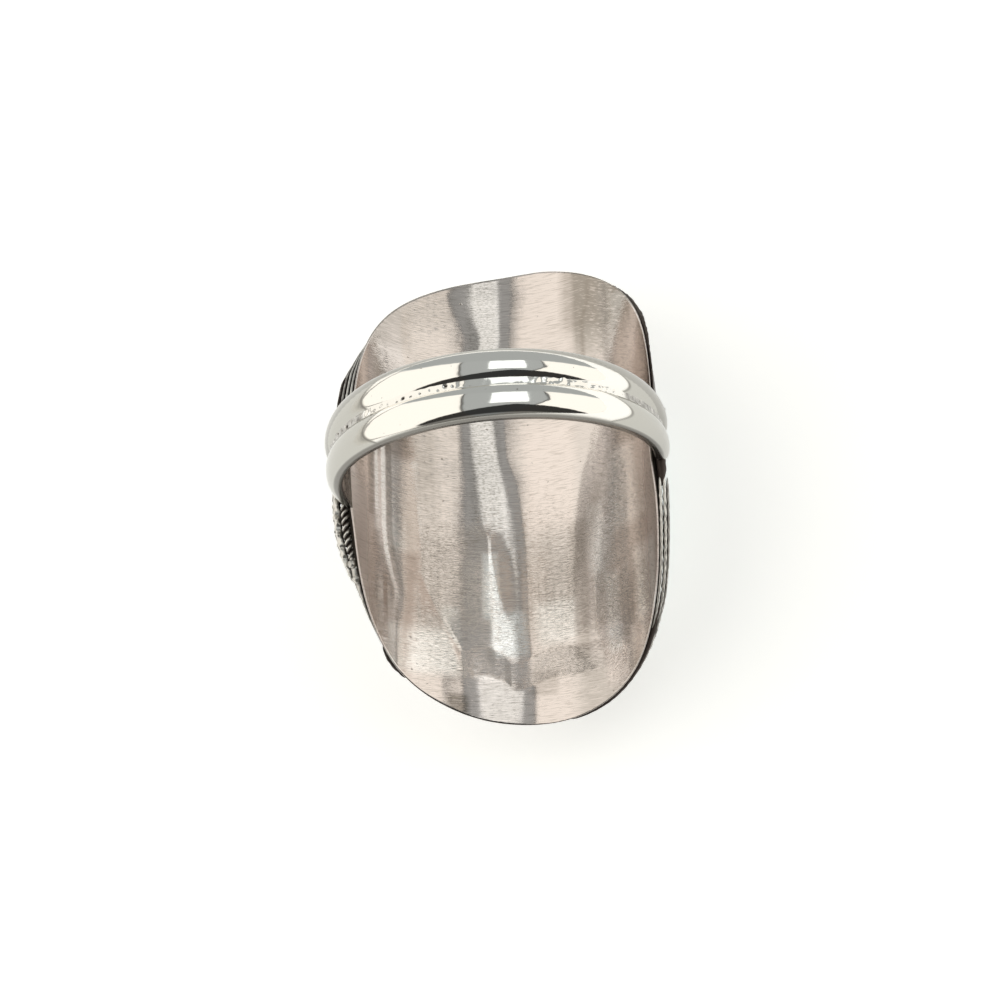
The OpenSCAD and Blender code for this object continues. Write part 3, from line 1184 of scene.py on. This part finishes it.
    def laid(self, trim: Trim) -> Piece:
        """One trim: an oval section along its rows' line, each value carried straight from row to row.

        Args:
            trim: the trim's name, darkness, rows and roughness.

        Returns:
            The piece, which draws in at both ends.
        """
        rows = np.array(trim.rows, float)
        share = np.linspace(0, 1, self.trim_stations)
        t = rows[0, 0] + share * (rows[-1, 0] - rows[0, 0])
        depth, radius, high, wide = (np.interp(t, rows[:, 0], rows[:, k]) for k in range(1, 5))
        taper = np.sqrt(np.clip(1 - np.abs(2 * share - 1) ** 16, 0.03, 1))[:, None]
        around = np.radians(np.arange(self.trim_around) * 360 / self.trim_around)[None, :]
        rough = 1 + trim.rough * waves(t[:, None] * 2, around * 2, len(trim.name), 3.0)
        rise, across = high[:, None] * np.cos(around) * taper * rough, wide[:, None] * np.sin(around) * taper * rough
        patina_and_shade = unit(trim.dark + 0.6 * np.abs(np.cos(around)) ** 3 + 0 * taper)
        return swept(trim.name, self.carried(self.path(t, depth, radius), rise, across), patina_and_shade)

    def drop(self, number: int, t: float, depth: float, radius: float, size: float) -> Piece:
        """A small ball, slightly uneven: rings of a sphere between two poles.

        Args:
            number: the drop's number, which also picks its unevenness.
            t: its direction from the plate's middle.
            depth: millimetres in from the edge.
            radius: millimetres from the finger's axis.
            size: its radius.

        Returns:
            The piece.
        """
        centre = self.plate.outline.bent(self.plate.outline.inset(np.array([t]), depth), radius)[0]
        high, turn = np.meshgrid(np.radians(np.linspace(-88, 88, 16)), np.radians(np.arange(24) * 15), indexing="ij")
        ball = np.stack([np.cos(high) * np.cos(turn), np.cos(high) * np.sin(turn), np.sin(high)], -1)
        uneven = 1 + 0.05 * waves(ball[..., 0] * 3, ball[..., 1] * 3 + ball[..., 2], number, 3.0)
        return swept(f"drop_{number}", centre + ball * size * uneven[..., None], 0.35 + 0 * high)

    def long_line(self, t: Array) -> tuple[Array, Array]:
        """Where the long twisted wire runs in direction t: nearest the plate's edge at its left end."""
        return 1.35 - 0.7 * hill(t, 196, 17), self.foot + 0.2 + 0 * t

    def left_line(self, t: Array) -> tuple[Array, Array]:
        """Where the short twisted wire at the left runs: it rises from the plate and falls back to it."""
        return 0.3 + 0.012 * (t - 183), 10.4 - 0.001 * (t - 183) ** 2 - 0.38 * hill(t, 183, 7)

    def make(self, finish: DarkenedSilver) -> list[bpy.types.Object]:
        """Builds the twisted wires, the trims and the drops.

        Args:
            finish: the finish of them all.

        Returns:
            The objects.
        """
        material = finish.material()
        pieces = self.twisted("border_twist", (64, 286), self.long_line, self.strand, self.twist)
        pieces += self.twisted("left_twist", (184, 203), self.left_line, self.left_strand, self.left_twist)
        pieces += [self.laid(trim) for trim in self.trims]
        pieces += [self.drop(number, *drop) for number, drop in enumerate(self.drops, 1)]
        return [piece.build(material, Slot.SILVER) for piece in pieces]


def oval(t: Array, half_width: float, half_length: float, fullness: float = 2.1) -> Array:
    """A smooth oval in direction t: a superellipse."""
    c, s = np.cos(np.radians(t)), np.sin(np.radians(t))
    return np.stack([half_width * fuller(c, fullness), half_length * fuller(s, fullness)], -1)


@dataclass
class Bezel:
    """The plain wall that holds the stone, and its seat."""

    half_width: float = 6.83
    half_length: float = 9.83
    wall: float = 0.4
    shift: float = 0.5
    lip: float = -11.98
    seat: float = -10.35
    hole: float = 9.75
    around: int = 240

    def ring(self, t: Array, grow: float, level: float | None) -> Array:
        """One ring of the wall.

        Args:
            t: directions from the stone's middle.
            grow: millimetres outside the stone's hole.
            level: its place along Z, or None for the level of the plate: minus the root of hole^2 - x^2.

        Returns:
            Points, shape (..., 3).
        """
        flat = oval(t, self.half_width + grow, self.half_length + grow)
        on_plate = -np.sqrt(np.clip(self.hole**2 - flat[:, 0] ** 2, 1, None))
        return np.stack([flat[:, 0], flat[:, 1] + self.shift, on_plate if level is None else 0 * t + level], -1)

    def piece(self) -> Piece:
        """The wall's section carried round the oval: up from the plate, over the lip and down to the seat.

        Returns:
            The piece.
        """
        t = np.arange(self.around) * 360 / self.around
        wall, lip = self.wall, self.lip
        section = (
            (wall, None), (wall, lip + 0.35), (0.85 * wall, lip + 0.08), (0.6 * wall, lip), (0.25 * wall, lip),
            (0.04, lip + 0.06), (0.0, lip + 0.3), (0.0, self.seat), (0.0, None),
        )
        rings = np.stack([self.ring(t, grow, level) for grow, level in section], 1)
        return Piece("bezel", rings.reshape(-1, 3), [quads(*rings.shape[:2], closed_rows=True, closed_columns=True)])

    def make(self, finish: PolishedSilver) -> bpy.types.Object:
        """Builds the bezel."""
        return self.piece().build(finish.material(), Slot.SILVER)


@dataclass
class Stone:
    """The oval cabochon, lying on its low crown."""

    half_width: float = 6.75
    half_length: float = 9.75
    shift: float = 0.5
    base: float = -10.43
    girdle: float = 1.2
    dome: float = 2.1
    # Fullness of the dome across and down, its rings and the points of a ring
    fullness: tuple[float, float] = (2.2, 2.6)
    rings: int = 40
    around: int = 192

    def piece(self) -> Piece:
        """Rings of one oval: up the straight side, then over a dome, a superellipse of the ring's share.

        Returns:
            The piece.
        """
        t = np.arange(self.around) * 360 / self.around
        angle = np.radians(np.linspace(0, 90, self.rings))[1:-1]
        across, deep = fuller(np.cos(angle), self.fullness[0]), fuller(np.sin(angle), self.fullness[1])
        share = np.concatenate([[0.35, 0.7, 0.97, 1.0, 1.0], across])
        down = np.concatenate([[0, 0, 0, 0.05, self.girdle], self.girdle + self.dome * deep])
        flat = oval(t, self.half_width, self.half_length)
        x, y = share[:, None] * flat[:, 0], share[:, None] * flat[:, 1] + self.shift
        points = np.stack([x, y, self.base - down[:, None] + 0 * x], -1).reshape(-1, 3)
        poles = [[0, self.shift, self.base], [0, self.shift, self.base - self.girdle - self.dome]]
        return Piece("turquoise_cabochon", np.concatenate([points, poles]), capped(len(share), len(t)))

    def make(self, finish: TurquoiseStone) -> bpy.types.Object:
        """Builds the stone, which stands for the CAD stone.

        Args:
            finish: the stone's finish.

        Returns:
            The object.
        """
        made = self.piece().build(finish.material(), Slot.TURQUOISE)
        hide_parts("turquoise_stone")
        return made


# The studio


@dataclass(frozen=True)
class Viewpoint:
    """Where the camera stands: it looks at the ring from above its near right side, rolled over."""

    azimuth: float = 33.1486
    elevation: float = 65.2312
    roll: float = -37.6177
    distance: float = 154.8907
    aim: tuple[float, float] = (0.17848, -3.20832)
    lens: float = 91.6156
    sensor: float = 36.0

    def make(self) -> bpy.types.Object:
        """Builds the camera: its axes are the rolled right and up, and the direction back to it.

        Returns:
            The camera.
        """
        a, e, r = (math.radians(v) for v in (self.azimuth, self.elevation, self.roll))
        back = Vector((math.sin(a) * math.cos(e), -math.cos(a) * math.cos(e), math.sin(e)))
        level = Vector((0, 0, 1)).cross(back).normalized()
        upright = back.cross(level)
        right = math.cos(r) * level + math.sin(r) * upright
        up = math.cos(r) * upright - math.sin(r) * level
        data = bpy.data.cameras.new("camera")
        data.lens, data.sensor_width = self.lens, self.sensor
        data.clip_start, data.clip_end = 0.01, 10.0
        made = put_in_scene("camera", data)
        place = (self.aim[0] * right + self.aim[1] * up + self.distance * back) * MM
        made.matrix_world = Matrix.Translation(place) @ Matrix((right, up, back)).transposed().to_4x4()
        bpy.context.scene.camera = made
        return made


@dataclass(frozen=True)
class Studio:
    """A white table in a light tent: two bright cloths overhead, a lamp in the gap between them, a dark front."""

    cloth: float = 1.12
    gap: float = 0.44
    hem: float = 0.1
    lamp: float = 1.35
    fold: float = 0.35
    far_wall: float = 0.42
    front: float = 0.035
    front_low: float = 0.22
    tint: Colour = (1.0, 0.97, 0.90)
    cool: Colour = (0.96, 1.0, 0.985)
    half_floor: float = 3000.0
    # Where each part of the tent lies: limits about the finger's line or along it, with the softness of its edge
    lamp_across: tuple[float, float, float] = (11.0, 35.0, 0.8)
    lamp_along: tuple[float, float, float] = (0.02, 0.6, 0.02)
    fold_across: tuple[float, float, float] = (-83.0, -80.5, 1.0)
    wall_from: tuple[float, float] = (0.66, 0.70)
    front_from: tuple[float, float] = (-0.13, -0.17)
    low_from: tuple[float, float] = (-0.84, -0.92)

    def light(self) -> None:
        """Builds the surroundings by direction: the angle about the finger's line, and the rise y along it."""
        world = bpy.data.worlds.new("light tent")
        bpy.context.scene.world = world
        world.use_nodes = True
        graph = Graph(world.node_tree)
        x, y, z = graph.axes(graph.add("ShaderNodeTexCoord", out="Generated"))
        angle = graph.math("ARCTAN2", x, z) * (180 / math.pi)
        low = (0.2 - y).max(0.0)
        left, right = angle + y * 6.0 + low * 5.0, angle + low * 16.0
        gap = left.step(-6.0, -5.0) * right.step(49.0, 48.0)
        wall = (y + angle * 0.0016).step(*self.wall_from)
        brim = y + abs(angle - 28.0) * 0.0078
        level = self.cloth + gap * (self.gap - self.cloth)
        for part, strength in (
            (graph.math("MINIMUM", left.within(-6.6, -5.4, 0.6) + right.within(47.4, 48.6, 0.6), 1.0), self.hem),
            (angle.within(*self.fold_across), self.fold),
            (angle.within(*self.lamp_across) * y.within(*self.lamp_along), self.lamp),
            (wall, self.far_wall),
            (brim.step(*self.front_from), self.front),
            (y.step(*self.low_from), self.front_low),
        ):
            level = level + part * (strength - level)
        colour = graph.colours(gap.max(wall), self.tint, self.cool)
        shade = graph.add("ShaderNodeBackground", None, {"Color": colour, "Strength": level})
        graph.node("ShaderNodeOutputWorld", None, {"Surface": shade})

    def floor(self, level: float) -> bpy.types.Object:
        """Builds the floor, a square of white card whose faces are a plain grid.

        Args:
            level: its height in metres.

        Returns:
            The object.
        """
        side = np.linspace(-self.half_floor, self.half_floor, 9)
        x, y = np.meshgrid(side, side)
        points = np.stack([x, y, 0 * x + level / MM], -1).reshape(-1, 3)
        mesh = bpy.data.meshes.new("floor")
        mesh.from_pydata((points * MM).tolist(), [], quads(len(side), len(side)).tolist())
        mesh.materials.append(WhiteCard().material())
        made = put_in_scene("floor", mesh)
        return made

    def make(self, level: float) -> None:
        """Builds the light and the floor, and shows colours as the camera's file has them.

        Args:
            level: the floor's height in metres.
        """
        self.light()
        self.floor(level)
        bpy.context.scene.view_settings.view_transform = "Standard"


def main() -> None:
    """Builds the ring and its studio in order, and reports each piece."""
    logging.basicConfig(level=logging.INFO, format="%(name)s: %(message)s")
    plate = BackPlate(PlateOutline())
    Viewpoint().make()
    Studio().make(CAD_BOX[0].z)
    plate.make(BrushedSilver())
    Band().make(PolishedSilver(), DarkenedSilver("solder", (0.9, 0.88, 0.84), (0.05, 0.04, 0.035), 0.1, 0.000004))
    Border(plate).make(DarkenedSilver())
    Bezel().make(PolishedSilver("bezel silver"))
    Stone().make(TurquoiseStone())


if __name__ == "__main__":
    main()
